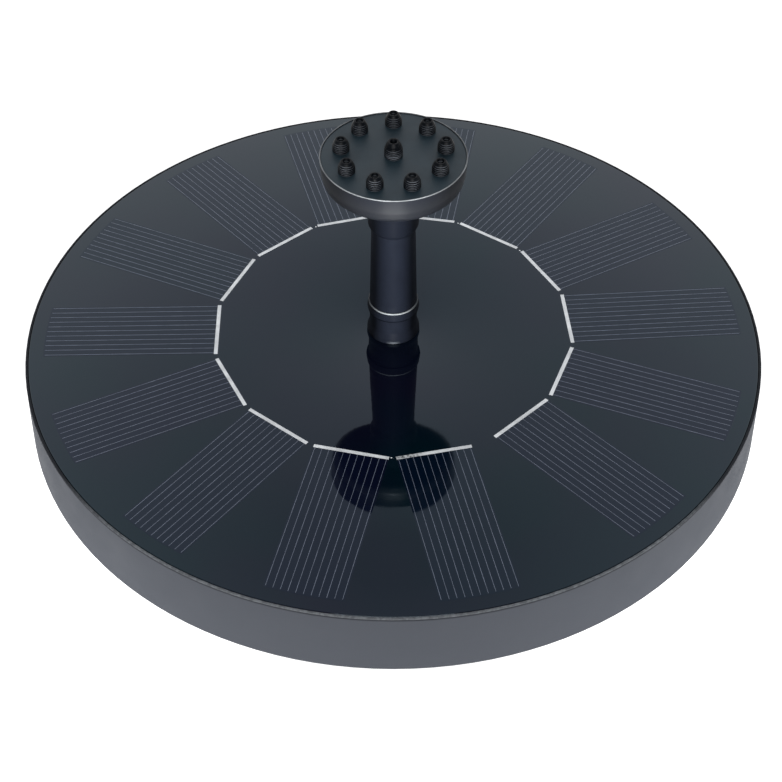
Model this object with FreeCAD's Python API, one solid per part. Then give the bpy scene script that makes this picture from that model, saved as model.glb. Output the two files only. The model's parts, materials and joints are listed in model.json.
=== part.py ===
"""Floating solar fountain pump: a round solar panel on a hollow float, with a small pump under it.

The pump hangs in a well at the middle of the float, inside a strainer basket. Its outlet feeds a riser that
comes up through the panel and ends in a round spray head with ten nozzles.

Frame: millimetres, +Z up along the riser, origin on that axis at the underside of the strainer basket, which
is what the fountain stands on when it is out of the water. The pump's own shaft lies along Y.
"""

import FreeCAD
import Part

import math
import os

from FreeCAD import Vector

# ---- driving dimensions ----------------------------------------------------------------------------------

GAP = 0.05  # running clearance of parts that slide or turn on each other
FACE_GAP = 0.05  # clearance between flat faces of parts that come apart

PANEL_TOP_Z = 34.0  # top face of the panel above the surface the fountain stands on
FLOAT_HEIGHT = 14.8
FLOAT_TOP_R = 80.0
FLOAT_BOTTOM_R = 80.65  # the shell is wider at its open end, by its moulding draft
SHELL_WALL = 1.8
DECK_THICK = 1.6  # the shell's top wall, under the panel
RIM_WIDTH = 0.65  # the shell's lip around the panel
RIM_ROUND = 0.3

BOARD_THICK = 1.6
CELL_COUNT = 14
CELL_PITCH_DEG = 25.3  # a little less than 360/14, which leaves one wider gap where the string ends
FIRST_CELL_DEG = -46.5
CELL_INNER = 38.0  # from the riser's axis to a cell's inner edge
CELL_OUTER = 76.2  # the cells' outer ends follow the rim
CELL_WIDTH = 15.8
CELL_THICK = 0.25
RIBBON_CENTRE = 38.6
RIBBON_WIDTH = 0.8
RIBBON_THICK = 0.15
LINK_LENGTH = 0.9  # the ribbon's tab that leads on to the next cell
LINK_WIDTH = 0.55
LINK_OVERHANG = 0.25

WELL_R = 27.2  # inside of the float's central well
WELL_WALL = 1.7
WELL_BOTTOM_Z = 15.0
BASE_THICK = 1.8
GASKET_THICK = 0.6
SCREW_CIRCLE_R = 71.0
BASE_SCREWS = 8
RIB_COUNT = 16

BASKET_WALL = 1.7
BASKET_FLOOR = 1.8
SIDE_SLOTS = 32
FLOOR_SLOTS = 16
SLOT_WIDTH = 2.0

PUMP_AXIS_Z = 17.0
PUMP_R = 13.5
VOLUTE_FRONT_Y = -6.2
SPLIT_Y = 6.2  # where the volute meets the motor housing
HOUSING_BACK_Y = 18.5
CHAMBER_R = 9.6
IMPELLER_R = 8.8
SHAFT_R = 1.0
SHAFT_FRONT_Y = -5.8
SHAFT_BACK_Y = 16.9
SHAFT_SEAT_R = 1.7
REAR_SEAT_R = 2.0
WASHER_R = 2.3
WASHER_THICK = 0.4
SLEEVE_R = 2.8
SLEEVE_FRONT_Y = -3.7
SLEEVE_BACK_Y = 15.4
IMPELLER_DISC_FRONT_Y = 4.5
IMPELLER_DISC_BACK_Y = 5.6
BLADES = 6
BLADE_HALF = 0.4
BUSH_R = 1.9
BUSH_LENGTH = 3.0
INLET_R = 4.2
SPOUT_R = 6.0
SPOUT_BORE_R = 4.5
HUB_HOLE_R = 6.15
EAR_OFFSET = 10.95  # screw ears, across and up from the pump's axis
EAR_R = 2.4
PUMP_SCREW_END_Y = 11.0
SEAL_R = 11.25

STRAP_Y = 15.2
STRAP_HALF = 2.5  # half of the strap's width
STRAP_SCREW_X = 17.9
STRAP_FOOT_Z = 26.0
STRAP_THICK = 1.1

CAN_INNER_R = 6.3  # thin wall between the rotor and the stator
CAN_OUTER_R = 7.1
MAGNET_R = 5.7
STATOR_INNER_R = 7.2
STATOR_OUTER_R = 12.2
STATOR_Y0 = 9.0
STATOR_Y1 = 13.2
CAN_FLOOR_Y = 16.1
SHAFT_SOCKET_BACK_Y = 17.2
CAN_BACK_Y = 17.8
HOUSING_WALL = 1.2
POTTING_DROP = 0.4  # the resin's surface below the housing's rim

SHOE_THICK = 1.1
POLE_HALF = 1.5  # half of a stator pole's width
YOKE_INNER_R = 10.9
COIL_INNER_R = 8.45
COIL_OUTER_R = 10.7
BOBBIN_WALL = 0.35
COIL_BUILD = 1.25  # from the pole's face to the outside of its winding
DRIVER_FRONT_Y = 14.7
DRIVER_BACK_Y = 15.3

LEAD_R = 1.0
LEAD_BEND_R = 6.0
LEAD_EXIT_Z = 20.0
LEAD_RISE_Y = 25.0
GROMMET_R = 2.4
DIODE_X = 11.0
DIODE_Y = 22.0

FOOT_R = 5.7  # adapter's flange on the panel
FOOT_EDGE = 0.9  # height of the flange's upright edge
FLARE_TOP = 2.6  # where the flange's flare meets the neck
ADAPTER_R = 5.13
ADAPTER_LIP_R = 5.62
ADAPTER_RIM_R = 5.33  # the lip's chamfer ends here
ADAPTER_TOP = 8.5  # heights from here to the nozzles are above the panel
ADAPTER_BOTTOM = -7.2
SOCKET_FLOOR = 2.2
TUBE_BOTTOM_R = 5.08
TUBE_TOP_R = 4.62
TUBE_TOP = 27.1
SPIGOT_R = 4.2
WATER_BORE_R = 3.0
SPIGOT_LENGTH = 8.5  # how far the tube reaches into the spray head
COLLAR_START_R = 5.1
COLLAR_R = 5.35
HEAD_R = 14.9
HEAD_UNDERSIDE = 39.8
HEAD_LIP = 46.5
HEAD_WALL = 1.2
HEAD_ROUND = 3.0
PLATE_R = 14.25
PLATE_RECESS = 0.5
PLATE_THICK = 1.4
PLATE_LEDGE = 0.9  # the cup's step under the plate's edge
NOZZLE_COUNT = 9
NOZZLE_CIRCLE_R = 10.7
NOZZLE_R = 1.75
NOZZLE_HEIGHT = 2.9
NOZZLE_STEPS = 5  # ribs on a nozzle's shoulder
NOZZLE_STEP_DEPTH = 0.09
NOZZLE_TIP_SHARE = 0.63  # the tip's radius as a share of the nozzle's
CENTRE_NOZZLE_R = 1.9
CENTRE_NOZZLE_HEIGHT = 3.7
JET_R = 0.72

# ---- places worked out from them -------------------------------------------------------------------------

DECK_TOP_Z = PANEL_TOP_Z - BOARD_THICK
DECK_Z = DECK_TOP_Z - DECK_THICK
FLOAT_BOTTOM_Z = PANEL_TOP_Z - FLOAT_HEIGHT
BOARD_R = FLOAT_TOP_R - RIM_WIDTH
BASE_TOP_Z = FLOAT_BOTTOM_Z + BASE_THICK
LEDGE_Z = BASE_TOP_Z + GASKET_THICK
WELL_OUTER_R = WELL_R + WELL_WALL
BASE_R = FLOAT_BOTTOM_R - SHELL_WALL - 0.3
BASKET_INNER_R = WELL_OUTER_R + 0.1
BASKET_R = BASKET_INNER_R + BASKET_WALL
POT_R = PUMP_R - HOUSING_WALL
PLATE_TOP = HEAD_LIP - PLATE_RECESS
PLATE_LOW = PLATE_TOP - PLATE_THICK

UP = Vector(0, 0, 1)
ALONG = Vector(0, 1, 0)
ORIGIN = Vector(0, 0, 0)


# ---- shape helpers ---------------------------------------------------------------------------------------


def rod(radius, low, high, x=0.0, y=0.0):
    """An upright cylinder."""
    return Part.makeCylinder(radius, high - low, Vector(x, y, low), UP)


def ring(inner, outer, low, high, x=0.0, y=0.0):
    """An upright tube, or a washer."""
    return rod(outer, low, high, x, y).cut(rod(inner, low - 1, high + 1, x, y))


def pump_rod(radius, front, back, x=0.0, z=0.0):
    """A cylinder along the pump's shaft. x and z are counted from that shaft."""
    return Part.makeCylinder(radius, back - front, Vector(x, front, PUMP_AXIS_Z + z), ALONG)


def pump_ring(inner, outer, front, back, x=0.0, z=0.0):
    return pump_rod(outer, front, back, x, z).cut(pump_rod(inner, front - 1, back + 1, x, z))


def block(x0, x1, y0, y1, z0, z1):
    return Part.makeBox(x1 - x0, y1 - y0, z1 - z0, Vector(x0, y0, z0))


def turned(outline):
    """The closed outline of (radius, height) points, turned about the riser's axis."""
    points = [Vector(r, 0, z) for r, z in outline]
    wire = Part.makePolygon(points + points[:1])
    return Part.Face(wire).revolve(ORIGIN, UP, 360)


def rounded(shape, radius, *circles):
    """Fillets the edges that are circles about the riser's axis, each given as (radius, height)."""
    picked = []
    for edge in shape.Edges:
        curve = edge.Curve
        if not isinstance(curve, Part.Circle):
            continue
        for r, z in circles:
            if abs(curve.Radius - r) < 0.01 and abs(curve.Center.z - z) < 0.01:
                picked.append(edge)
    if not picked:
        raise ValueError(f"no edge to round at {circles}")
    return shape.makeFillet(radius, picked)


def spun(shape, degrees, about=ORIGIN, axis=UP):
    copy = shape.copy()
    copy.rotate(about, axis, degrees)
    return copy


def polar(shape, count, start=0.0, about=ORIGIN, axis=UP):
    """The shape repeated around an axis."""
    return [spun(shape, start + 360.0 * i / count, about, axis) for i in range(count)]


def pump_polar(shape, count, start=0.0):
    return polar(shape, count, start, Vector(0, 0, PUMP_AXIS_Z), ALONG)


def fused(first, *others):
    return first.multiFuse(list(others)).removeSplitter()


def cell_angles():
    return [FIRST_CELL_DEG + CELL_PITCH_DEG * i for i in range(CELL_COUNT)]


# ---- panel -----------------------------------------------------------------------------------------------


def cell_blank(clearance=0.0):
    """One cell's full outline, lying along +X."""
    half = CELL_WIDTH / 2
    low, high = PANEL_TOP_Z - CELL_THICK, PANEL_TOP_Z + clearance
    return block(CELL_INNER, CELL_OUTER, -half, half, low, high).common(rod(CELL_OUTER, low, high))


def ribbon_blank(clearance=0.0):
    """One cell's ribbon, across its inner end, with the short link that leads on to the next cell."""
    low, half = RIBBON_CENTRE - RIBBON_WIDTH / 2, CELL_WIDTH / 2
    bottom, top = PANEL_TOP_Z - RIBBON_THICK, PANEL_TOP_Z + clearance
    bar = block(low, low + RIBBON_WIDTH, -half, half, bottom, top)
    start, end = low - LINK_OVERHANG, half + LINK_LENGTH / 2
    link = block(start, start + LINK_WIDTH, half - LINK_LENGTH / 2, end, bottom, top)
    return fused(bar, link)


def panel_board():
    """The laminate that carries the cells. They lie flush in its face."""
    board = ring(HUB_HOLE_R - 1.0, BOARD_R, DECK_TOP_Z, PANEL_TOP_Z)
    cuts = [spun(fused(cell_blank(1.0), ribbon_blank(1.0)), a) for a in cell_angles()]
    return board.cut(Part.makeCompound(cuts))


def solar_cells():
    cell = cell_blank().cut(ribbon_blank(1.0))
    return Part.makeCompound([spun(cell, a) for a in cell_angles()])


def ribbons():
    return Part.makeCompound([spun(ribbon_blank(), a) for a in cell_angles()])


def blocking_diode():
    """Keeps the pump from feeding back into the shaded cells. It is soldered under the board."""
    body = block(DIODE_X - 2.0, DIODE_X + 2.0, DIODE_Y - 1.3, DIODE_Y + 1.3, DECK_Z + 0.1, DECK_TOP_Z)
    tabs = block(DIODE_X - 2.7, DIODE_X + 2.7, DIODE_Y - 0.7, DIODE_Y + 0.7, DECK_TOP_Z - 0.3, DECK_TOP_Z)
    return fused(body, tabs)


# ---- float -----------------------------------------------------------------------------------------------


def float_shell():
    """Deck, outer wall and well in one moulding, open downwards."""
    draft = (FLOAT_BOTTOM_R - FLOAT_TOP_R) / FLOAT_HEIGHT
    ledge_r = FLOAT_TOP_R + draft * (PANEL_TOP_Z - LEDGE_Z) - SHELL_WALL
    shell = turned(
        [
            (HUB_HOLE_R, DECK_Z),
            (WELL_R, DECK_Z),
            (WELL_R, WELL_BOTTOM_Z),
            (WELL_OUTER_R, WELL_BOTTOM_Z),
            (WELL_OUTER_R, LEDGE_Z),
            (WELL_OUTER_R + 2.2, LEDGE_Z),
            (WELL_OUTER_R + 2.2, LEDGE_Z + 1.6),
            (WELL_OUTER_R, LEDGE_Z + 1.6),
            (WELL_OUTER_R, DECK_Z),
            (FLOAT_TOP_R - SHELL_WALL, DECK_Z),
            (ledge_r - 0.1, LEDGE_Z + 1.6),
            (ledge_r - 2.2, LEDGE_Z + 1.6),
            (ledge_r - 2.2, LEDGE_Z),
            (ledge_r, LEDGE_Z),
            (FLOAT_BOTTOM_R - SHELL_WALL, FLOAT_BOTTOM_Z),
            (FLOAT_BOTTOM_R, FLOAT_BOTTOM_Z),
            (FLOAT_TOP_R, PANEL_TOP_Z),
            (BOARD_R + 0.1, PANEL_TOP_Z),
            (BOARD_R + 0.1, DECK_TOP_Z),
            (HUB_HOLE_R, DECK_TOP_Z),
        ]
    )
    shell = rounded(shell, RIM_ROUND, (FLOAT_TOP_R, PANEL_TOP_Z), (FLOAT_BOTTOM_R, FLOAT_BOTTOM_Z))
    boss = ring(1.0, 3.0, LEDGE_Z, DECK_Z + 0.5, SCREW_CIRCLE_R, 0)
    web = block(SCREW_CIRCLE_R + 2.8, FLOAT_TOP_R - 1.0, -0.6, 0.6, LEDGE_Z + 1.6, DECK_Z + 0.5)
    posts = polar(fused(boss, web), BASE_SCREWS, 22.5)
    strap_x = (-STRAP_SCREW_X, STRAP_SCREW_X)
    clamp_posts = [ring(1.0, 3.0, STRAP_FOOT_Z, DECK_Z + 0.5, x, STRAP_Y) for x in strap_x]
    shell = fused(shell, *posts, *clamp_posts)
    # The solids that were drawn through the deck are cut back to its pocket, and the two openings are made.
    pocket = ring(HUB_HOLE_R, BOARD_R, DECK_TOP_Z, PANEL_TOP_Z + 1)
    lead_hole = rod(GROMMET_R, DECK_Z - 1, DECK_TOP_Z + 1, 0, LEAD_RISE_Y)
    diode_room = block(DIODE_X - 2.9, DIODE_X + 2.9, DIODE_Y - 1.5, DIODE_Y + 1.5, DECK_Z - 1, DECK_TOP_Z + 1)
    return shell.cut(Part.makeCompound([pocket, lead_hole, diode_room]))


def countersink(clearance=0.0):
    """A countersunk screw's head at the float's underside, on the +X side of the screw circle."""
    flat_z = FLOAT_BOTTOM_Z + 0.2
    place = Vector(SCREW_CIRCLE_R, 0, flat_z)
    cone = Part.makeCone(2.3 + clearance, 1.2 + clearance, 1.2, place, UP)
    return cone.fuse(rod(2.3 + clearance, FLOAT_BOTTOM_Z - clearance, flat_z, SCREW_CIRCLE_R, 0))


def float_base():
    """The plate that closes the float's hollow ring, with moulded ribs on its outside."""
    low = FLOAT_BOTTOM_Z
    plate = rounded(ring(WELL_OUTER_R + 0.3, BASE_R, low, BASE_TOP_Z), 0.4, (BASE_R, low))
    # Sunk fields leave radial ribs and one round rib flush with the plate's rim.
    rib = block(30, 70, -0.9, 0.9, low - 2, low + 1)
    round_rib = ring(50.6, 52.4, low - 2, low + 1)
    fields = ring(38.0, 65.0, low - 1, low + 0.7)
    fields = fields.cut(Part.makeCompound(polar(rib, RIB_COUNT) + [round_rib]))
    hole = fused(countersink(GAP), rod(1.35, low, BASE_TOP_Z + 1, SCREW_CIRCLE_R, 0))
    return plate.cut(Part.makeCompound([fields] + polar(hole, BASE_SCREWS, 22.5)))


def base_gaskets():
    """Two flat rings that keep water out of the float, at its outer wall and at its well."""
    outer = ring(FLOAT_TOP_R - 3.2, BASE_R - 0.2, BASE_TOP_Z, LEDGE_Z)
    inner = ring(WELL_OUTER_R + 0.3, WELL_OUTER_R + 2.2, BASE_TOP_Z, LEDGE_Z)
    return Part.makeCompound([outer, inner])


def cross_recess(x, y, z, depth, span):
    arms = [
        block(x - span, x + span, y - 0.28, y + 0.28, z, z + depth),
        block(x - 0.28, x + 0.28, y - span, y + span, z, z + depth),
    ]
    return fused(*arms)


def base_screws():
    shank = rod(1.0 - GAP, FLOAT_BOTTOM_Z + 1.0, DECK_Z - 3.0, SCREW_CIRCLE_R, 0)
    neck = rod(1.2, FLOAT_BOTTOM_Z + 1.0, BASE_TOP_Z, SCREW_CIRCLE_R, 0)
    screw = fused(countersink(), neck, shank)
    screw = screw.cut(cross_recess(SCREW_CIRCLE_R, 0, FLOAT_BOTTOM_Z - 0.2, 1.0, 1.5))
    return Part.makeCompound(polar(screw, BASE_SCREWS, 22.5))


# ---- strainer --------------------------------------------------------------------------------------------


def strainer_basket():
    """A slotted cup around the pump. It pushes up over the rim of the well and stops under the float."""
    top = FLOAT_BOTTOM_Z - FACE_GAP
    inner = BASKET_INNER_R
    cup = turned(
        [(0, 0), (BASKET_R, 0), (BASKET_R, top), (inner, top), (inner, BASKET_FLOOR), (0, BASKET_FLOOR)]
    )
    cup = rounded(cup, 0.8, (BASKET_R, 0))
    band = ring(BASKET_R - 0.2, BASKET_R + 0.7, top - 2.4, top)
    cup = fused(cup, rounded(band, 0.3, (BASKET_R + 0.7, top - 2.4)))
    side = block(inner - 2, BASKET_R + 2, -SLOT_WIDTH / 2, SLOT_WIDTH / 2, 3.4, 13.6)
    half = SLOT_WIDTH / 2
    floor_slot = fused(
        block(10.5, 23.5, -half, half, -1, BASKET_FLOOR + 1),
        rod(half, -1, BASKET_FLOOR + 1, 10.5, 0),
        rod(half, -1, BASKET_FLOOR + 1, 23.5, 0),
    )
    slots = polar(side, SIDE_SLOTS) + polar(floor_slot, FLOOR_SLOTS)
    return cup.cut(Part.makeCompound(slots))


def filter_foam():
    """A ring of open foam inside the basket, all round the pump."""
    return ring(23.8, BASKET_INNER_R - 0.2, BASKET_FLOOR + 0.1, WELL_BOTTOM_Z - 0.5)


# ---- pump cradle -----------------------------------------------------------------------------------------


def pump_strap():
    """A U-shaped saddle that hangs the pump's motor housing from two posts under the deck."""
    inner, outer = PUMP_R + 0.1, PUMP_R + 0.1 + STRAP_THICK
    front, back = STRAP_Y - STRAP_HALF, STRAP_Y + STRAP_HALF
    foot_low = STRAP_FOOT_Z - STRAP_THICK
    saddle = pump_ring(inner, outer, front, back)
    saddle = saddle.cut(block(-30, 30, front - 1, back + 1, PUMP_AXIS_Z, PUMP_AXIS_Z + 30))
    parts = [saddle]
    for side in (-1, 1):
        leg = sorted((side * inner, side * outer))
        foot = sorted((side * inner, side * (STRAP_SCREW_X + 2.3)))
        parts.append(block(leg[0], leg[1], front, back, PUMP_AXIS_Z, STRAP_FOOT_Z))
        parts.append(block(foot[0], foot[1], front, back, foot_low, STRAP_FOOT_Z))
    strap = fused(*parts)
    holes = [rod(1.2, 0, STRAP_FOOT_Z + 1, x, STRAP_Y) for x in (-STRAP_SCREW_X, STRAP_SCREW_X)]
    return strap.cut(Part.makeCompound(holes))


def strap_screws():
    screws = []
    head_low = STRAP_FOOT_Z - STRAP_THICK - 1.4
    for x in (-STRAP_SCREW_X, STRAP_SCREW_X):
        head = rod(2.1, head_low, STRAP_FOOT_Z - STRAP_THICK, x, STRAP_Y)
        shank = rod(1.0 - GAP, STRAP_FOOT_Z - STRAP_THICK, DECK_Z - 0.6, x, STRAP_Y)
        screws.append(fused(head, shank).cut(cross_recess(x, STRAP_Y, head_low - 0.1, 0.8, 1.2)))
    return Part.makeCompound(screws)


# ---- pump: wet end ---------------------------------------------------------------------------------------


def at_ears(radius, front, back):
    """A cylinder at each of the pump's four screws."""
    sides = (-EAR_OFFSET, EAR_OFFSET)
    return [pump_rod(radius, front, back, x, z) for x in sides for z in sides]


def volute():
    """The impeller's chamber, with the inlet in front and the spout on top."""
    spout_top = DECK_TOP_Z - 0.1
    body = fused(
        pump_rod(PUMP_R, VOLUTE_FRONT_Y, SPLIT_Y),
        rod(SPOUT_R, PUMP_AXIS_Z, spout_top),
        *at_ears(EAR_R, 0.0, SPLIT_Y),
    )
    wall_back = VOLUTE_FRONT_Y + 1.6
    hollow = fused(
        pump_rod(CHAMBER_R, wall_back, SPLIT_Y + 1),
        pump_rod(INLET_R, VOLUTE_FRONT_Y - 1, wall_back + 0.1),
        rod(SPOUT_BORE_R, PUMP_AXIS_Z, spout_top + 1),
    )
    body = body.cut(hollow)
    # A hub on three arms crosses the inlet and holds the front end of the shaft.
    hub = pump_ring(SHAFT_SEAT_R, 2.5, VOLUTE_FRONT_Y, wall_back + 0.4)
    arm = block(2.2, INLET_R + 0.3, VOLUTE_FRONT_Y, wall_back, PUMP_AXIS_Z - 0.45, PUMP_AXIS_Z + 0.45)
    body = fused(body, hub, *pump_polar(arm, 3, 90.0))
    return body.cut(Part.makeCompound(at_ears(1.0 + GAP, -1.0, SPLIT_Y + 1)))


def volute_seal():
    """Round cord ring in the housing's groove, against the volute's back face."""
    return Part.makeTorus(SEAL_R, 0.44, Vector(0, SPLIT_Y + 0.46, PUMP_AXIS_Z), ALONG)


def pump_screws():
    """Four cross-head screws, from the volute's ears into the motor housing's."""
    screws = []
    for x in (-EAR_OFFSET, EAR_OFFSET):
        for z in (-EAR_OFFSET, EAR_OFFSET):
            middle = PUMP_AXIS_Z + z
            head = pump_rod(1.8, -1.3, 0.0, x, z)
            shank = pump_rod(1.0, 0.0, PUMP_SCREW_END_Y, x, z)
            level = block(x - 1.3, x + 1.3, -1.5, -0.7, middle - 0.28, middle + 0.28)
            upright = block(x - 0.28, x + 0.28, -1.5, -0.7, middle - 1.3, middle + 1.3)
            screws.append(fused(head, shank).cut(fused(level, upright)))
    return Part.makeCompound(screws)


def impeller():
    """Open impeller. Its sleeve runs back through the magnet, so the two turn as one."""
    z = PUMP_AXIS_Z
    blade = block(
        SLEEVE_R - 0.4, IMPELLER_R, -3.5, IMPELLER_DISC_FRONT_Y + 0.2, z - BLADE_HALF, z + BLADE_HALF
    )
    wheel = fused(
        pump_rod(SLEEVE_R, SLEEVE_FRONT_Y, SLEEVE_BACK_Y),
        pump_rod(IMPELLER_R, IMPELLER_DISC_FRONT_Y, IMPELLER_DISC_BACK_Y),
        *pump_polar(blade, BLADES),
    )
    return wheel.cut(pump_rod(BUSH_R, SLEEVE_FRONT_Y - 1, SLEEVE_BACK_Y + 1))


def rotor_magnet():
    return pump_ring(SLEEVE_R, MAGNET_R, 6.9, SLEEVE_BACK_Y - 0.2)


def rotor_bushes():
    """Two short bearings at the sleeve's ends, which run on the fixed shaft."""
    front = pump_ring(SHAFT_R + GAP, BUSH_R, SLEEVE_FRONT_Y, SLEEVE_FRONT_Y + BUSH_LENGTH)
    back = pump_ring(SHAFT_R + GAP, BUSH_R, SLEEVE_BACK_Y - BUSH_LENGTH, SLEEVE_BACK_Y)
    return Part.makeCompound([front, back])


def shaft():
    return pump_rod(SHAFT_R, SHAFT_FRONT_Y, SHAFT_BACK_Y)


def front_shaft_seat():
    """Rubber cap that holds the shaft's front end in the inlet's hub."""
    cap = pump_rod(SHAFT_SEAT_R, VOLUTE_FRONT_Y, VOLUTE_FRONT_Y + 2.0)
    return cap.cut(pump_rod(SHAFT_R, SHAFT_FRONT_Y, 0))


def rear_shaft_seat():
    """Rubber cap that holds the shaft's back end in the can's floor."""
    cap = pump_rod(REAR_SEAT_R, CAN_FLOOR_Y - 0.1, SHAFT_SOCKET_BACK_Y)
    return cap.cut(pump_rod(SHAFT_R, CAN_FLOOR_Y - 1, SHAFT_BACK_Y))


def thrust_washers():
    """One washer at each end of the rotor's sleeve."""
    front_y = VOLUTE_FRONT_Y + 2.02
    back_y = SLEEVE_BACK_Y + 0.15
    front = pump_ring(SHAFT_R + GAP, WASHER_R, front_y, front_y + WASHER_THICK)
    back = pump_ring(SHAFT_R + GAP, WASHER_R, back_y, back_y + WASHER_THICK)
    return Part.makeCompound([front, back])


# ---- pump: motor -----------------------------------------------------------------------------------------


def motor_housing():
    """A cup open at the back. The can in its middle keeps the rotor's water away from the windings."""
    body = fused(pump_rod(PUMP_R, SPLIT_Y, HOUSING_BACK_Y), *at_ears(EAR_R, SPLIT_Y, 12.0))
    body = body.cut(pump_rod(POT_R, SPLIT_Y + 1.4, HOUSING_BACK_Y + 1))
    can = fused(body, pump_rod(CAN_OUTER_R, SPLIT_Y + 1.0, CAN_BACK_Y))
    can = can.cut(pump_rod(CAN_INNER_R, SPLIT_Y - 1, CAN_FLOOR_Y))
    can = can.cut(pump_rod(REAR_SEAT_R, CAN_FLOOR_Y - 0.5, SHAFT_SOCKET_BACK_Y))
    groove = pump_ring(SEAL_R - 0.5, SEAL_R + 0.5, SPLIT_Y - 1, SPLIT_Y + 0.95)
    return can.cut(Part.makeCompound([groove] + at_ears(1.0 + GAP, SPLIT_Y - 1, PUMP_SCREW_END_Y + 0.3)))


def stator_core():
    """Four poles inside a yoke, as in a small single-phase motor."""
    yoke = pump_ring(YOKE_INNER_R, STATOR_OUTER_R, STATOR_Y0, STATOR_Y1)
    shoe = pump_ring(STATOR_INNER_R, STATOR_INNER_R + SHOE_THICK, STATOR_Y0, STATOR_Y1)
    gap = block(5, 9, STATOR_Y0 - 1, STATOR_Y1 + 1, PUMP_AXIS_Z - 1.1, PUMP_AXIS_Z + 1.1)
    shoe = shoe.cut(Part.makeCompound(pump_polar(gap, 4, 45.0)))
    tooth = block(
        STATOR_INNER_R + 0.6,
        YOKE_INNER_R + 0.4,
        STATOR_Y0,
        STATOR_Y1,
        PUMP_AXIS_Z - POLE_HALF,
        PUMP_AXIS_Z + POLE_HALF,
    )
    return fused(yoke, shoe, *pump_polar(tooth, 4))


def frame_around_pole(inner, outer):
    """A rectangular frame round one pole. The two sizes are distances from the pole's faces."""
    half, low, high, z = POLE_HALF, STATOR_Y0, STATOR_Y1, PUMP_AXIS_Z
    first, last = COIL_INNER_R, COIL_OUTER_R
    big = block(first, last, low - outer, high + outer, z - half - outer, z + half + outer)
    hole = block(first - 1, last + 1, low - inner, high + inner, z - half - inner, z + half + inner)
    return big.cut(hole)


def between_shoe_and_yoke(frame):
    """The frame at all four poles, trimmed to the round space that it has."""
    space = pump_ring(STATOR_INNER_R + SHOE_THICK + 0.05, YOKE_INNER_R - 0.05, 5, 15)
    return Part.makeCompound([f.common(space) for f in pump_polar(frame, 4)])


def coil_bobbins():
    """The poles' insulation."""
    return between_shoe_and_yoke(frame_around_pole(0.02, BOBBIN_WALL))


def stator_coils():
    """The windings, each as one body around its bobbin."""
    return between_shoe_and_yoke(frame_around_pole(BOBBIN_WALL + 0.02, COIL_BUILD))


def driver_board():
    return pump_ring(CAN_OUTER_R + 0.1, POT_R - 0.2, DRIVER_FRONT_Y, DRIVER_BACK_Y)


def driver_parts():
    """Position sensor, switching chip and a capacitor, on the board's back face."""
    z = PUMP_AXIS_Z
    sensor = block(-1.6, 1.6, DRIVER_BACK_Y, DRIVER_BACK_Y + 0.9, z - 11.2, z - 8.2)
    chip = block(-11.2, -8.0, DRIVER_BACK_Y, DRIVER_BACK_Y + 1.1, z - 2.0, z + 2.0)
    capacitor = block(8.2, 11.0, DRIVER_BACK_Y, DRIVER_BACK_Y + 1.2, z - 1.3, z + 1.3)
    return Part.makeCompound([sensor, chip, capacitor])


def potting():
    """Resin that seals the back of the motor, around the board's parts and the lead."""
    block_of_resin = pump_rod(POT_R, DRIVER_BACK_Y, HOUSING_BACK_Y - POTTING_DROP)
    can = pump_rod(CAN_OUTER_R, DRIVER_BACK_Y - 1, CAN_BACK_Y)
    lead = pump_rod(LEAD_R, CAN_BACK_Y, HOUSING_BACK_Y + 1, 0, LEAD_EXIT_Z - PUMP_AXIS_Z)
    return block_of_resin.cut(Part.makeCompound([can, driver_parts(), lead]))


# ---- lead ------------------------------------------------------------------------------------------------


def pump_lead():
    """The two-core lead from the motor's back up to the panel's underside, in one bend."""
    start_y = CAN_BACK_Y + 0.1
    bend_y = LEAD_RISE_Y - LEAD_BEND_R
    bend_z = LEAD_EXIT_Z + LEAD_BEND_R
    mid = LEAD_BEND_R * math.sqrt(0.5)
    out = Part.LineSegment(Vector(0, start_y, LEAD_EXIT_Z), Vector(0, bend_y, LEAD_EXIT_Z)).toShape()
    bend = Part.Arc(
        Vector(0, bend_y, LEAD_EXIT_Z),
        Vector(0, bend_y + mid, bend_z - mid),
        Vector(0, LEAD_RISE_Y, bend_z),
    ).toShape()
    rise = Part.LineSegment(Vector(0, LEAD_RISE_Y, bend_z), Vector(0, LEAD_RISE_Y, DECK_TOP_Z)).toShape()
    path = Part.Wire([out, bend, rise])
    section = Part.Wire(Part.makeCircle(LEAD_R, Vector(0, start_y, LEAD_EXIT_Z), ALONG))
    lead = path.makePipeShell([section], True, True)
    length = path.Length
    print(f"lead: length {length:.1f} mm, bend radius {LEAD_BEND_R} mm, volume {lead.Volume:.2f} mm3")
    print(f"lead: section times length {math.pi * LEAD_R**2 * length:.2f} mm3")
    return lead


def lead_grommet():
    """Rubber plug around the lead where it goes through the deck. Its skirt is trimmed to the well's wall."""
    neck = rod(GROMMET_R, DECK_Z, DECK_TOP_Z, 0, LEAD_RISE_Y)
    skirt = rod(GROMMET_R + 0.8, DECK_Z - 0.9, DECK_Z, 0, LEAD_RISE_Y)
    skirt = skirt.common(rod(WELL_R - 0.1, DECK_Z - 2, DECK_Z + 1))
    return fused(skirt, neck).cut(rod(LEAD_R, 0, DECK_TOP_Z + 1, 0, LEAD_RISE_Y))


# ---- riser and spray head --------------------------------------------------------------------------------


def above_panel(outline):
    """An outline whose heights are given above the panel."""
    return turned([(r, PANEL_TOP_Z + h) for r, h in outline])


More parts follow.
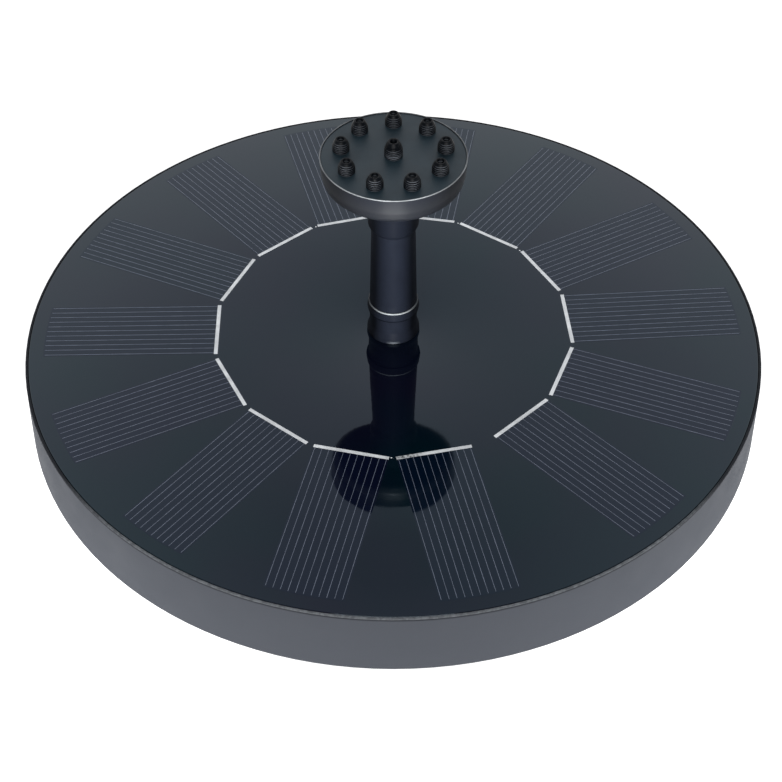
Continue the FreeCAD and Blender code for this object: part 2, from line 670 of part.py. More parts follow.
def riser_adapter():
    """Plugs into the pump's spout through the panel, and takes the riser tube in its top."""
    plug_r = SPOUT_BORE_R - GAP
    adapter = above_panel(
        [
            (WATER_BORE_R, ADAPTER_BOTTOM),
            (plug_r, ADAPTER_BOTTOM),
            (plug_r, FACE_GAP),
            (FOOT_R, FACE_GAP),
            (FOOT_R, FOOT_EDGE),
            (ADAPTER_R, FLARE_TOP),
            (ADAPTER_R, ADAPTER_TOP - 2.4),
            (ADAPTER_LIP_R, ADAPTER_TOP - 1.9),
            (ADAPTER_LIP_R, ADAPTER_TOP - 1.2),
            (ADAPTER_RIM_R, ADAPTER_TOP),
            (SPIGOT_R + GAP, ADAPTER_TOP),
            (SPIGOT_R + GAP, SOCKET_FLOOR),
            (WATER_BORE_R, SOCKET_FLOOR),
        ]
    )
    lip = (ADAPTER_LIP_R, PANEL_TOP_Z + ADAPTER_TOP - 1.2)
    foot = (FOOT_R, PANEL_TOP_Z + FOOT_EDGE)
    return rounded(rounded(adapter, 0.3, lip), 0.3, foot)


def riser_tube():
    low = ADAPTER_TOP + FACE_GAP
    tube = above_panel(
        [
            (WATER_BORE_R, SOCKET_FLOOR + FACE_GAP),
            (SPIGOT_R, SOCKET_FLOOR + FACE_GAP),
            (SPIGOT_R, low),
            (TUBE_BOTTOM_R, low),
            (TUBE_TOP_R, TUBE_TOP - FACE_GAP),
            (SPIGOT_R, TUBE_TOP - FACE_GAP),
            (SPIGOT_R, TUBE_TOP + SPIGOT_LENGTH),
            (WATER_BORE_R, TUBE_TOP + SPIGOT_LENGTH),
        ]
    )
    return rounded(tube, 0.15, (TUBE_BOTTOM_R, PANEL_TOP_Z + low))


def spray_cup():
    """Collar, underside and wall of the spray head in one turned shape, rounded under its rim."""
    floor = HEAD_UNDERSIDE + HEAD_WALL
    socket_top = TUBE_TOP + SPIGOT_LENGTH + 0.5
    cup = above_panel(
        [
            (SPIGOT_R + GAP, TUBE_TOP),
            (TUBE_TOP_R + 0.05, TUBE_TOP),
            (COLLAR_START_R, TUBE_TOP + 0.9),
            (COLLAR_R, TUBE_TOP + 2.4),
            (COLLAR_R, HEAD_UNDERSIDE),
            (HEAD_R - 0.2, HEAD_UNDERSIDE),
            (HEAD_R, HEAD_LIP),
            (PLATE_R + GAP, HEAD_LIP),
            (PLATE_R + GAP, PLATE_LOW),
            (PLATE_R - PLATE_LEDGE, PLATE_LOW),
            (PLATE_R - PLATE_LEDGE, floor),
            (WATER_BORE_R, floor),
            (WATER_BORE_R, socket_top),
            (SPIGOT_R + GAP, socket_top),
        ]
    )
    cup = rounded(cup, HEAD_ROUND, (HEAD_R - 0.2, PANEL_TOP_Z + HEAD_UNDERSIDE))
    cup = rounded(cup, 1.4, (COLLAR_R, PANEL_TOP_Z + HEAD_UNDERSIDE))
    return rounded(cup, 0.2, (HEAD_R, PANEL_TOP_Z + HEAD_LIP))


def nozzle(radius, height):
    """One stepped nozzle standing on the plate at the axis, with its jet hole left to be cut."""
    foot_r = radius * 0.94
    tip = radius * NOZZLE_TIP_SHARE
    outline = [
        (0, PLATE_TOP - 0.4),
        (foot_r, PLATE_TOP - 0.4),
        (foot_r, PLATE_TOP),
        (radius, PLATE_TOP + height * 0.22),
    ]
    for i in range(NOZZLE_STEPS):
        share = i / NOZZLE_STEPS
        r = radius + (tip - radius) * share**1.7
        z = PLATE_TOP + height * (0.42 + 0.46 * share)
        outline += [(r, z), (r - NOZZLE_STEP_DEPTH, z + 0.06)]
    outline += [
        (tip, PLATE_TOP + height * 0.88),
        (tip, PLATE_TOP + height - 0.08),
        (tip - 0.08, PLATE_TOP + height),
        (0, PLATE_TOP + height),
    ]
    return above_panel(outline)


def nozzle_plate():
    """The head's face: nine nozzles in a circle and a taller one in the middle."""
    low = PLATE_LOW + 0.02
    plate = above_panel([(0, low), (PLATE_R, low), (PLATE_R, PLATE_TOP), (0, PLATE_TOP)])
    outward = Vector(0, NOZZLE_CIRCLE_R, 0)
    outer = nozzle(NOZZLE_R, NOZZLE_HEIGHT).translated(outward)
    middle = nozzle(CENTRE_NOZZLE_R, CENTRE_NOZZLE_HEIGHT)
    jet = rod(JET_R, PANEL_TOP_Z + low - 1, PANEL_TOP_Z + HEAD_LIP + 6)
    plate = fused(plate, middle, *polar(outer, NOZZLE_COUNT))
    return plate.cut(Part.makeCompound([jet] + polar(jet.translated(outward), NOZZLE_COUNT)))


# ---- all the parts ---------------------------------------------------------------------------------------

PARTS = {
    "panel_board": panel_board,
    "solar_cells": solar_cells,
    "cell_ribbons": ribbons,
    "blocking_diode": blocking_diode,
    "float_shell": float_shell,
    "float_base": float_base,
    "base_gaskets": base_gaskets,
    "base_screws": base_screws,
    "strainer_basket": strainer_basket,
    "filter_foam": filter_foam,
    "pump_strap": pump_strap,
    "strap_screws": strap_screws,
    "volute": volute,
    "volute_seal": volute_seal,
    "pump_screws": pump_screws,
    "impeller": impeller,
    "rotor_magnet": rotor_magnet,
    "rotor_bushes": rotor_bushes,
    "shaft": shaft,
    "front_shaft_seat": front_shaft_seat,
    "rear_shaft_seat": rear_shaft_seat,
    "thrust_washers": thrust_washers,
    "motor_housing": motor_housing,
    "stator_core": stator_core,
    "coil_bobbins": coil_bobbins,
    "stator_coils": stator_coils,
    "driver_board": driver_board,
    "driver_parts": driver_parts,
    "potting": potting,
    "pump_lead": pump_lead,
    "lead_grommet": lead_grommet,
    "riser_adapter": riser_adapter,
    "riser_tube": riser_tube,
    "spray_cup": spray_cup,
    "nozzle_plate": nozzle_plate,
}


def main():
    os.makedirs("parts", exist_ok=True)
    for name, make in PARTS.items():
        shape = make()
        solids = shape.Solids
        if not shape.isValid() or not solids:
            raise ValueError(f"{name} is not a valid solid")
        shape.exportStep(f"parts/{name}.step")
        print(f"{name}: {len(solids)} solid(s), {sum(s.Volume for s in solids) / 1000:.3f} cm3")


main()
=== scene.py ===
import json
import math
import random

import bmesh
import bpy
import numpy as np
from mathutils import Matrix, Vector


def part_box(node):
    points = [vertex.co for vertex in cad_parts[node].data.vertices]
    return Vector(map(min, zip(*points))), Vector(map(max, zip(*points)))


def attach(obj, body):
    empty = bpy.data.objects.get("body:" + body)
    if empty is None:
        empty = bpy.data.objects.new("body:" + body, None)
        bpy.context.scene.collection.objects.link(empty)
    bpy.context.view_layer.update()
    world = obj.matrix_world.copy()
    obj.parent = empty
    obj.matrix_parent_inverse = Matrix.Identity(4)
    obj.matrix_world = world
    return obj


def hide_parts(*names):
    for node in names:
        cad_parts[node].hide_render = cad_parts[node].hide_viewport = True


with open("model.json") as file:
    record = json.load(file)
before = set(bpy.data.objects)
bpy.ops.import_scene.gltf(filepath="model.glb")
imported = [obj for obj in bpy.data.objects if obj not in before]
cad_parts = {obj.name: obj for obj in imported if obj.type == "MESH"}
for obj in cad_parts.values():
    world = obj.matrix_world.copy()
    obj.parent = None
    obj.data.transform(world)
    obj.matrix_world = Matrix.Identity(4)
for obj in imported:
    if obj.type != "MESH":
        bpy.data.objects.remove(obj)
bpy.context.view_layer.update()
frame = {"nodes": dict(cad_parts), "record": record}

MM = 0.001
random.seed(7)
scene = bpy.context.scene

# ---- sizes, in millimetres in the part's frame -----------------------------------------------------------


def node_box(node):
    low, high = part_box(node)
    return low / MM, high / MM


PANEL_TOP = node_box("panel_board")[1].z
PANEL_LOW = node_box("panel_board")[0].z
PANEL_R = node_box("panel_board")[1].x
PANEL_HOLE_R = 5.15
CELL_COUNT = 14
CELL_PITCH = 25.3  # degrees
FIRST_CELL = -46.5
CELL_INNER = 38.0
CELL_OUTER = 76.2
CELL_HALF = 7.9  # half of a cell's width
CELL_THICK = 0.25
CELL_PROUD = 0.012  # above the laminate, as are the other two below
FINGERS_EACH_SIDE = 5  # of a cell's middle finger
FINGER_PITCH = 1.5
FINGER_WIDTH = 0.11
FINGER_PROUD = 0.02
FINGER_OUTER = 75.9
FINGER_LENGTHS = 14
RIBBON_MID = 38.6
RIBBON_WIDTH = 0.8
RIBBON_THICK = 0.15
RIBBON_PROUD = 0.035
BEADS_PER_RIBBON = 4
BEADED_JOINTS = (3, 4, 6, 12)

# Heights of the riser and the head are above the panel.
WATERWAY_R = 3.0
SPOUT_PLUG_R = 4.45
SPOUT_PLUG = 7.2  # how far the adapter reaches down into the spout
FLANGE_R = 5.7
NECK_R = 5.13
ADAPTER_LIP_R = 5.6
ADAPTER_LIP = 6.7
ADAPTER_RIM_R = 5.4
ADAPTER_RIM = 0.26  # height of the painted highlight line
ADAPTER_TOP = 8.5
SOCKET_R = 4.25  # of the bores that take the riser tube's plugs
ADAPTER_SOCKET_FLOOR = 2.2
HEAD_SOCKET_TOP = 36.1
PLUG_R = 4.2
TUBE_LOW_R = 5.06
TUBE_TOP = 28.4
TUBE_TOP_R = 4.62
TUBE_PLUG = 7.2  # how far the tube reaches up into the head
SEAM = 0.05  # gap left where two turned parts meet end to end
COLLAR_R = 5.35
HEAD_FLAT_R = 12.9
HEAD_SHOULDER_R = 14.3
HEAD_WALL_R = 14.65
HEAD_R = 14.9
HEAD_UNDERSIDE = 39.8
HEAD_LIP = 46.5
LIP_WIDTH = 0.26
PLATE_R = 14.6
PLATE_TOP = HEAD_LIP - 0.16
PLATE_THICK = 1.4
NOZZLE_COUNT = 9
NOZZLE_CIRCLE_R = 10.7
RING_NOZZLE = {"radius": 1.75, "height": 2.7, "root_r": 1.66}
MIDDLE_NOZZLE = {"radius": 1.9, "height": 3.5, "root_r": 1.8}
NOZZLE_TIP = 0.64  # a tip's radius over its nozzle's
NOZZLE_ROOT = 0.5  # how deep a nozzle is set in the plate
NOZZLE_STEPS = 56
NOZZLE_FOOT, NOZZLE_SHOULDER = 0.12, 0.42  # where they end and start, as shares of the height
NOZZLE_RIBS = 5
RIB_FIRST, RIB_LAST = 0.10, 0.80  # shares of the height too
RIB_DEPTH = 0.1
GLINT_PITCH = 0.394  # height from one glint on the ribs to the next
JET_R = 0.74

FOAM_INNER = 23.8
FOAM_PORE = 1.5  # from one pore's middle to the next
PORE_R = 0.93
FOAM_PIT = 0.9  # how deep a pore is
FOAM_STEP = 0.3  # size of the ring's faces
WIRE = 0.28
COIL_LAYERS = 3
LAYER_RISE = 0.87  # of a wire's thickness
COIL_BORE_Y = 2.47  # half of the bobbin's outside, along the shaft and across it
COIL_BORE_Z = 1.87
COIL_REACH = (8.5, 10.3)
COIL_CORNER = 0.35
LAYER_SHORTER = 0.45
WIRE_SIDES = 6

# ---- colours ---------------------------------------------------------------------------------------------

FLOAT_GREY = (0.070, 0.0755, 0.088)
# Painted shade on the float's lip round the panel, and a painted highlight on it at the front.
FLOAT_LIP_PAINTED_SHADE = (0.022, 0.024, 0.028)
FLOAT_LIP_PAINTED_HIGHLIGHT = (0.17, 0.18, 0.19)
# Painted shade in the crease just under the float's lip.
CREASE_PAINTED_SHADE = (0.030, 0.032, 0.038)
RISER_BLACK = (0.0078, 0.0097, 0.0152)
# Painted highlights on the adapter's rim and on its flange.
RIM_PAINTED_HIGHLIGHT = (0.30, 0.32, 0.33)
FLANGE_PAINTED_HIGHLIGHT = (0.09, 0.10, 0.11)
# Painted light on the head's wall, and a painted highlight on its lip.
HEAD_WALL_PAINTED_LIGHT = (0.0110, 0.0125, 0.0160)
HEAD_LIP_PAINTED_HIGHLIGHT = (0.36, 0.38, 0.39)
NOZZLE_BLACK = (0.0018, 0.0028, 0.0046)
NOZZLE_GLINT = (0.17, 0.185, 0.21)
PANEL_TINT = (0.74, 0.90, 1.0, 1.0)

# ---- material building -----------------------------------------------------------------------------------


class Shade:
    """A procedural material, built node by node."""

    def __init__(self, name):
        self.material = bpy.data.materials.new(name)
        self.material.use_nodes = True
        self.tree = self.material.node_tree
        self.tree.nodes.clear()
        self.surface = self.add("ShaderNodeBsdfPrincipled")
        out = self.add("ShaderNodeOutputMaterial")
        self.join(self.surface.outputs[0], out.inputs[0])
        self.place = self.add("ShaderNodeTexCoord").outputs["Object"]

    def add(self, kind, **settings):
        node = self.tree.nodes.new(kind)
        for name, value in settings.items():
            setattr(node, name, value)
        return node

    def join(self, source, target):
        self.tree.links.new(source, target)

    def feed(self, socket, value):
        if isinstance(value, bpy.types.NodeSocket):
            self.join(value, socket)
        else:
            socket.default_value = value

    def set(self, **values):
        for name, value in values.items():
            self.feed(self.surface.inputs[name.replace("_", " ")], value)

    def math(self, operation, a, b=0.0):
        node = self.add("ShaderNodeMath", operation=operation)
        self.feed(node.inputs[0], a)
        self.feed(node.inputs[1], b)
        return node.outputs[0]

    def stretched(self, scale):
        node = self.add("ShaderNodeMapping")
        self.join(self.place, node.inputs["Vector"])
        node.inputs["Scale"].default_value = scale
        return node.outputs[0]

    def noise(self, scale, detail=3.0, rough=0.55, place=None):
        node = self.add("ShaderNodeTexNoise")
        self.join(place or self.place, node.inputs["Vector"])
        node.inputs["Scale"].default_value = scale
        node.inputs["Detail"].default_value = detail
        node.inputs["Roughness"].default_value = rough
        return node.outputs[0]

    def cells(self, scale, place=None, output="Distance"):
        node = self.add("ShaderNodeTexVoronoi", feature="F1")
        self.join(place or self.place, node.inputs["Vector"])
        node.inputs["Scale"].default_value = scale
        return node.outputs[output]

    def span(self, value, low, high, to_low=0.0, to_high=1.0):
        """Maps low...high to 0...1, or to other ends, and holds it there."""
        node = self.add("ShaderNodeMapRange")
        self.feed(node.inputs["Value"], value)
        node.inputs["From Min"].default_value = low
        node.inputs["From Max"].default_value = high
        node.inputs["To Min"].default_value = to_low
        node.inputs["To Max"].default_value = to_high
        return node.outputs[0]

    def mix(self, factor, a, b):
        node = self.add("ShaderNodeMix", data_type="RGBA")
        self.feed(node.inputs["Factor"], factor)
        self.feed(node.inputs[6], (*a, 1.0) if isinstance(a, tuple) else a)
        self.feed(node.inputs[7], (*b, 1.0) if isinstance(b, tuple) else b)
        return node.outputs[2]

    def bump(self, height, distance, normal=None):
        node = self.add("ShaderNodeBump")
        node.inputs["Strength"].default_value = 1.0
        node.inputs["Distance"].default_value = distance
        self.join(height, node.inputs["Height"])
        if normal is not None:
            self.join(normal, node.inputs["Normal"])
        return node.outputs[0]

    def rounded_normal(self, radius):
        node = self.add("ShaderNodeBevel", samples=4)
        node.inputs["Radius"].default_value = radius
        return node.outputs[0]

    def parts(self, vector=None):
        """The three parts of a vector, or of the point's own place in metres."""
        node = self.add("ShaderNodeSeparateXYZ")
        self.join(vector or self.place, node.inputs[0])
        return node.outputs["X"], node.outputs["Y"], node.outputs["Z"]

    def level_square(self, x, y):
        return self.math("ADD", self.math("MULTIPLY", x, x), self.math("MULTIPLY", y, y))

    def from_axis(self):
        """Distance from the riser's axis, in millimetres."""
        x, y, _ = self.parts()
        return self.math("DIVIDE", self.math("SQRT", self.level_square(x, y)), MM)

    def above_panel(self):
        """Height above the panel's top face, in millimetres."""
        _, _, z = self.parts()
        return self.math("SUBTRACT", self.math("DIVIDE", z, MM), PANEL_TOP)

    def turned_away(self, normal, amount):
        """Turns the shading normal about the riser's axis, away from the front."""
        x, y, _ = self.parts(normal)
        level = self.math("SQRT", self.math("ADD", self.level_square(x, y), 0.0001))
        turn_by = self.add("ShaderNodeVectorRotate", rotation_type="Z_AXIS")
        self.join(normal, turn_by.inputs["Vector"])
        angle = self.math("MULTIPLY", self.math("DIVIDE", x, level), amount)
        self.join(angle, turn_by.inputs["Angle"])
        return turn_by.outputs[0]

    def edges(self, radius):
        """0 on flat faces, near 1 on edges."""
        bevel = self.rounded_normal(radius)
        plain = self.add("ShaderNodeNewGeometry").outputs["Normal"]
        dot = self.add("ShaderNodeVectorMath", operation="DOT_PRODUCT")
        self.join(bevel, dot.inputs[0])
        self.join(plain, dot.inputs[1])
        return self.span(dot.outputs["Value"], 0.995, 0.86), bevel


def scaled(colour, factor):
    return tuple(min(1.0, c * factor) for c in colour)


def moulded(
    name, colour, rough, grain=2600.0, depth=0.012, mottle=0.22, wear=0.9,
    specular=0.5, streak=0.0, edge=0.00025,
):
    """Moulded plastic or rubber: fine grain, faint flow marks, slightly polished edges, lightened in patches
    partly as wear and partly as a painted highlight.

    A streak above 0 draws the light on a part turned about the riser's axis into a narrower band.
    """
    s = Shade(name)
    worn, soft = s.edges(edge)
    broad = s.noise(55.0, 4.0, 0.6)
    fine = s.noise(700.0, 3.0, 0.6)
    tone = s.math("ADD", s.math("MULTIPLY", broad, 0.65), s.math("MULTIPLY", fine, 0.35))
    base = s.mix(s.span(tone, 0.3, 0.7), scaled(colour, 1 - mottle), scaled(colour, 1 + mottle))
    # Edges lightened in patches: partly wear, partly a painted highlight.
    scuff_and_edge_highlight = s.math("MULTIPLY", worn, s.span(s.noise(900.0, 2.0), 0.35, 0.7))
    base = s.mix(s.math("MULTIPLY", scuff_and_edge_highlight, 0.45 * wear), base, scaled(colour, 2.6))
    roughness = s.span(s.noise(140.0, 3.0), 0.25, 0.75, rough - 0.07, rough + 0.08)
    roughness = s.math("SUBTRACT", roughness, s.math("MULTIPLY", worn, 0.12 * wear))
    grainy = s.noise(grain, 2.0, 0.6)
    normal = s.bump(grainy, depth * MM, soft)
    if streak:
        normal = s.turned_away(normal, streak)
    s.base = base
    s.set(Base_Color=base, Roughness=roughness, Normal=normal)
    s.surface.inputs["Specular IOR Level"].default_value = specular
    return s


def metal(name, colour, rough, stretch=(1.0, 1.0, 1.0), scratch=0.006):
    """Bare metal with fine drawn or turned lines and a few dull spots."""
    s = Shade(name)
    worn, soft = s.edges(0.0002)
    lines = s.noise(1500.0, 3.0, 0.7, s.stretched(stretch))
    dull = s.span(s.noise(260.0, 4.0), 0.52, 0.7)
    base = s.mix(s.math("MULTIPLY", dull, 0.36), colour, scaled(colour, 0.6))
    base = s.mix(s.math("MULTIPLY", worn, 0.5), base, scaled(colour, 1.25))
    roughness = s.span(lines, 0.25, 0.75, rough - 0.08, rough + 0.1)
    s.set(Base_Color=base, Metallic=1.0, Roughness=roughness, Normal=s.bump(lines, scratch * MM, soft))
    return s


def gloss(name, colour, rough, depth=0.004):
    """Smooth moulded or cast surface with faint waves."""
    s = Shade(name)
    worn, soft = s.edges(0.0002)
    tone = s.span(s.noise(120.0, 4.0), 0.3, 0.7)
    base = s.mix(tone, scaled(colour, 0.85), scaled(colour, 1.15))
    base = s.mix(s.math("MULTIPLY", worn, 0.4), base, scaled(colour, 1.6))
    roughness = s.span(s.noise(300.0, 3.0), 0.3, 0.7, rough - 0.04, rough + 0.06)
    s.set(Base_Color=base, Roughness=roughness, Normal=s.bump(s.noise(420.0, 2.0), depth * MM, soft))
    return s


def clear_cast(s):
    """The clear resin over the panel: gloss with slight smudges and a faint ripple."""
    smudge = s.span(s.noise(38.0, 5.0, 0.62), 0.45, 0.75)
    s.set(Roughness=s.span(smudge, 0.0, 1.0, 0.03, 0.08))
    ripple = s.math("ADD", s.noise(26.0, 2.0), s.math("MULTIPLY", s.noise(210.0, 2.0), 0.10))
    s.set(Normal=s.bump(ripple, 0.05 * MM))
    s.surface.inputs["IOR"].default_value = 1.5
    s.surface.inputs["Specular Tint"].default_value = PANEL_TINT


def panel_laminate():
    """Black laminate with a slow drift between violet and teal, and a little dust."""
    s = Shade("panel_laminate")
    speck = s.span(s.cells(2300.0), 0.0, 0.12, 1.0, 0.0)
    dust = s.math("MULTIPLY", speck, s.span(s.noise(90.0, 3.0), 0.55, 0.75))
    base = s.mix(s.span(s.noise(24.0, 2.0), 0.36, 0.64), (0.0032, 0.0028, 0.0105), (0.0000, 0.0062, 0.0100))
    s.set(Base_Color=s.mix(s.math("MULTIPLY", dust, 0.35), base, (0.05, 0.055, 0.06)))
    clear_cast(s)
    return s


def cell_silicon():
    """Blue-black silicon with fine crystals, each cell with its own hue."""
    s = Shade("cell_silicon")
    island = s.add("ShaderNodeNewGeometry").outputs["Random Per Island"]
    hue = s.mix(island, (0.0003, 0.0044, 0.0130), (0.0036, 0.0020, 0.0150))
    crystal = s.cells(420.0, s.stretched((1.0, 1.0, 0.02)), output="Color")
    grey = s.add("ShaderNodeRGBToBW")
    s.join(crystal, grey.inputs[0])
    flake = s.span(grey.outputs[0], 0.0, 1.0, 0.0, 0.3)
    s.set(Base_Color=s.mix(flake, hue, (0.0030, 0.0060, 0.0150)))
    clear_cast(s)
    return s


def tinned(name, bright, rough):
    """Tinned strip under the clear resin, with solder waves along it."""
    s = Shade(name)
    wave = s.noise(900.0, 3.0, 0.6)
    patch = s.span(s.noise(320.0, 4.0), 0.35, 0.68)
    s.base = s.mix(patch, scaled(bright, 0.72), bright)
    s.set(Base_Color=s.base, Metallic=0.35)
    s.set(Roughness=s.span(wave, 0.3, 0.7, rough - 0.1, rough + 0.12), Normal=s.bump(wave, 0.02 * MM))
    s.surface.inputs["Coat Weight"].default_value = 1.0
    s.surface.inputs["Coat Roughness"].default_value = 0.04
    return s


def ribbon_tin():
    """Bright tin, with the flux left dark and speckled on one end of the ribbon right of the front."""
    s = tinned("tinned_ribbon", (0.88, 0.90, 0.90), 0.5)
    x, y, _ = s.parts()
    end = s.math("MULTIPLY", s.span(x, 0.0002, 0.0006), s.span(x, 0.0065, 0.0035))
    end = s.math("MULTIPLY", end, s.span(y, -0.030, -0.034))
    speckle = s.span(s.noise(1500.0, 2.0), 0.36, 0.56, 1.0, 0.25)
    s.set(Base_Color=s.mix(s.math("MULTIPLY", end, speckle), s.base, (0.06, 0.065, 0.065)))
    return s


def float_plastic():
    """Satin grey plastic with light and shade painted in. The lip round the panel is painted dark as shade,
    with a broken painted highlight on it at the front; just under the lip runs a painted line of shade, and
    the wall is painted lighter towards the bottom, as light from the floor.
    """
    s = moulded("float_plastic", FLOAT_GREY, 0.62, depth=0.02, mottle=0.07, wear=0.4, specular=0.04)
    height = s.above_panel()
    _, y, _ = s.parts()
    lip = s.span(height, -0.17, -0.12)
    # Painted shade: a thin darker line just under the lip.
    crease_shade = s.span(height, -0.55, -0.45)
    front = s.span(y, -0.045, -0.06)
    broken = s.span(s.noise(1300.0, 3.0), 0.40, 0.60, 0.55, 1.0)
    # The lip is painted dark as shade, and bright in broken patches at the front as a painted highlight.
    lip_shade_and_highlight = s.mix(s.math("MULTIPLY", front, broken), FLOAT_LIP_PAINTED_SHADE, FLOAT_LIP_PAINTED_HIGHLIGHT)
    # Painted light: the wall is darker near the top and lighter towards the bottom, as light from the floor.
    wall = s.mix(s.span(height, -1.0, -13.0), scaled(FLOAT_GREY, 0.86), scaled(FLOAT_GREY, 1.06))
    base = s.mix(crease_shade, s.mix(0.7, s.base, wall), CREASE_PAINTED_SHADE)
    s.set(Base_Color=s.mix(lip, base, lip_shade_and_highlight))
    return s


def riser_plastic():
    """Dull black plastic, with a thin painted highlight along the adapter's rim, strongest at the front, and
    a painted highlight spot on its flange.
    """
    s = moulded(
        "riser_plastic", RISER_BLACK, 0.5, depth=0.006, wear=0.2, specular=0.03, streak=0.85, edge=0.00007
    )
    height = s.above_panel()
    x, y, _ = s.parts()
    # Painted highlight: a thin bright line round the adapter's rim, strongest at the front.
    above = s.span(height, ADAPTER_TOP - ADAPTER_RIM, ADAPTER_TOP - ADAPTER_RIM + 0.1)
    below = s.span(height, ADAPTER_TOP + 0.02, ADAPTER_TOP + 0.06, 1.0, 0.0)
    rim = s.math("MULTIPLY", s.math("MULTIPLY", above, below), s.span(s.from_axis(), 5.12, 5.2))
    front = s.span(y, -0.0015, -0.0052, 0.22, 1.0)
    base = s.mix(s.math("MULTIPLY", rim, front), s.base, RIM_PAINTED_HIGHLIGHT)
    # Painted highlight: a bright spot low on the flange, in a narrow band across the axis.
    foot = s.math("MULTIPLY", s.span(height, 0.8, 0.5), s.span(s.math("ABSOLUTE", x), 0.0016, 0.0002))
    s.set(Base_Color=s.mix(s.math("MULTIPLY", foot, 0.8), base, FLANGE_PAINTED_HIGHLIGHT))
    return s


def nozzle_black():
    """Black plastic, with the glint of light on the ribs' fronts painted in."""
    s = moulded("nozzle_black", NOZZLE_BLACK, 0.42, depth=0.004, wear=0.2, specular=0.12)
    height = s.above_panel()
    _, facing, _ = s.parts(s.add("ShaderNodeTexCoord").outputs["Normal"])
    front = s.span(facing, -0.45, -0.95)
    up = s.math("SUBTRACT", height, PLATE_TOP)
    wave = s.math("SINE", s.math("MULTIPLY", up, 2 * math.pi / GLINT_PITCH))
    crest = s.math("MULTIPLY", s.span(wave, 0.2, 0.9), s.span(height, PLATE_TOP + 2.4, PLATE_TOP + 1.9))
    bright = s.math("MULTIPLY", crest, s.math("ADD", 0.12, s.math("MULTIPLY", front, 0.88)))
    s.set(Base_Color=s.mix(bright, s.base, NOZZLE_GLINT))
    return s


def cup_plastic():
    """The riser's plastic, painted lighter on the head's wall as painted light, painted darker on the collar
    and inner underside as shade under the head, and with a painted highlight on its lip, mostly at the front.
    """
    s = moulded(
        "cup_plastic", RISER_BLACK, 0.5, depth=0.006, wear=0.2, specular=0.03, streak=0.92, edge=0.00007
    )
    height, radius = s.above_panel(), s.from_axis()
    _, y, _ = s.parts()
    # Painted light: the head's wall is lighter, more so lower down.
    down = s.span(height, HEAD_LIP - 0.6, HEAD_LIP - 3.2, 0.45, 1.0)
    wall = s.math("MULTIPLY", s.span(radius, 11.0, 14.2), down)
    # Painted shade: the collar and the middle of the underside are darker, under the head.
    collar = s.mix(s.span(radius, 7.0, 9.0), scaled(RISER_BLACK, 0.8), s.base)
    base = s.mix(wall, collar, HEAD_WALL_PAINTED_LIGHT)
    s.set(Coat_Weight=s.math("MULTIPLY", wall, 0.7))
    s.surface.inputs["Coat Roughness"].default_value = 0.36
    # Painted highlight: a broken bright line round the lip, strongest at the front.
    broken = s.span(s.noise(260.0, 2.0), 0.3, 0.6, 0.55, 1.0)
    broken = s.math("MULTIPLY", broken, s.span(y, 0.002, -0.012, 0.45, 1.0))
    lip = s.math("MULTIPLY", s.span(height, HEAD_LIP - 0.14, HEAD_LIP - 0.05), broken)
    s.set(Base_Color=s.mix(lip, base, HEAD_LIP_PAINTED_HIGHLIGHT))
    return s


MATERIALS = {
    "panel_laminate": panel_laminate(),
    "cell_silicon": cell_silicon(),
    "tinned_ribbon": ribbon_tin(),
    "component_black": moulded("component_black", (0.03, 0.03, 0.03), 0.5),
    "float_plastic": float_plastic(),
    "base_plastic": moulded("base_plastic", (0.05, 0.054, 0.062), 0.55, depth=0.02),
    "gasket_rubber": moulded("gasket_rubber", (0.03, 0.03, 0.03), 0.75, wear=0.2),
    "stainless": metal("stainless", (0.6, 0.6, 0.59), 0.3),
    "basket_plastic": moulded("basket_plastic", (0.03, 0.032, 0.036), 0.42),
    "filter_foam": moulded("filter_foam", (0.035, 0.038, 0.042), 0.9, grain=900.0, depth=0.25, wear=0.2),
    "strap_plastic": moulded("strap_plastic", (0.035, 0.037, 0.04), 0.45),
    "pump_plastic": moulded("pump_plastic", (0.03, 0.031, 0.034), 0.4),
    "seal_rubber": moulded("seal_rubber", (0.16, 0.035, 0.02), 0.7, wear=0.2),
    "impeller_plastic": gloss("impeller_plastic", (0.74, 0.73, 0.69), 0.32),
    "ferrite": moulded("ferrite", (0.06, 0.06, 0.065), 0.5, grain=1800.0, depth=0.02),
    "bush_plastic": gloss("bush_plastic", (0.55, 0.5, 0.4), 0.35),
    "shaft_steel": metal("shaft_steel", (0.66, 0.66, 0.65), 0.16, (1.0, 12.0, 1.0), 0.003),
    "lamination_steel": metal("lamination_steel", (0.35, 0.35, 0.36), 0.4, (0.1, 3.0, 0.1), 0.05),
    "bobbin_plastic": gloss("bobbin_plastic", (0.62, 0.6, 0.52), 0.45),
    "enamelled_copper": metal("enamelled_copper", (0.62, 0.22, 0.06), 0.28, (0.2, 4.0, 0.2), 0.08),
    "circuit_board": gloss("circuit_board", (0.012, 0.11, 0.045), 0.28),
    "potting_resin": gloss("potting_resin", (0.012, 0.012, 0.014), 0.16, depth=0.02),
    "lead_jacket": moulded("lead_jacket", (0.02, 0.02, 0.02), 0.45),
    "riser_plastic": riser_plastic(),
    "nozzle_plastic": moulded(
        "nozzle_plastic", (0.013, 0.028, 0.038), 0.46, depth=0.006, wear=0.2, specular=0.34
    ),
}
CUP_LOOK = cup_plastic()
NOZZLE_LOOK = nozzle_black()
FINGER_LOOK = tinned("finger_metal", (0.15, 0.175, 0.235), 0.5)


def paint(thing, material):
    thing.data.materials.clear()
    thing.data.materials.append(material)


# ---- mesh building ---------------------------------------------------------------------------------------


